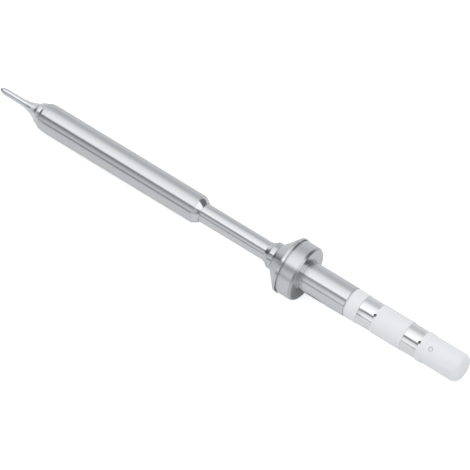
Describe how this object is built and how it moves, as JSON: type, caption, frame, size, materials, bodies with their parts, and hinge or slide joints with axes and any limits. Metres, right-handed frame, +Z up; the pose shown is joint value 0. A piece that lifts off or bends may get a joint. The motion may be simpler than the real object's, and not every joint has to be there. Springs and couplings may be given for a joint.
{
  "type": "soldering iron tip",
  "caption": "Long heater-cartridge soldering tip: pointed slim bit, steel barrel, thin stem, conical stop collar, steel shaft, bright contact rings and a white insulated end.",
  "frame": {"origin": "on the axis, where the shaft leaves the low boss on the collar's back face", "axes": "+X along the axis from the bit towards the contact end, +Z up; the lead holes are turned 24 degrees from +Z towards -Y"},
  "size_m": [0.1051, 0.0114, 0.0114],
  "materials": {
    "bit_plating": "iron plated, satin",
    "barrel_steel": "fine turned stainless steel",
    "bush_steel": "turned stainless steel",
    "stem_steel": "drawn stainless steel",
    "collar_steel": "turned stainless steel",
    "shaft_steel": "fine turned stainless steel",
    "ring_plating": "nickel plated, bright",
    "white_plastic": "matte",
    "cap_plastic": "matte",
    "core_plastic": "matte",
    "alumina": "matte",
    "magnesia": "matte, packed powder",
    "cement": "matte",
    "heater_wire": "oxidised resistance wire",
    "sensor_alloy": "bare wire",
    "lead_wire": "bare nickel wire"
  },
  "bodies": {
    "root": {"soldering_bit": "bit_plating", "barrel_sleeve": "barrel_steel", "barrel_bush": "bush_steel", "heater_former": "alumina", "heating_coil": "heater_wire", "sensor_wire": "sensor_alloy", "magnesia_fill": "magnesia", "cement_seal": "cement", "connecting_tube": "stem_steel", "twin_bore_insulator": "alumina", "collar": "collar_steel", "shaft_tube": "shaft_steel", "insulator_core": "core_plastic", "front_spacer": "white_plastic", "front_contact_ring": "ring_plating", "middle_spacer": "white_plastic", "rear_contact_ring": "ring_plating", "end_cap": "cap_plastic", "front_lead": "lead_wire", "rear_lead": "lead_wire"}
  },
  "joints": []
}
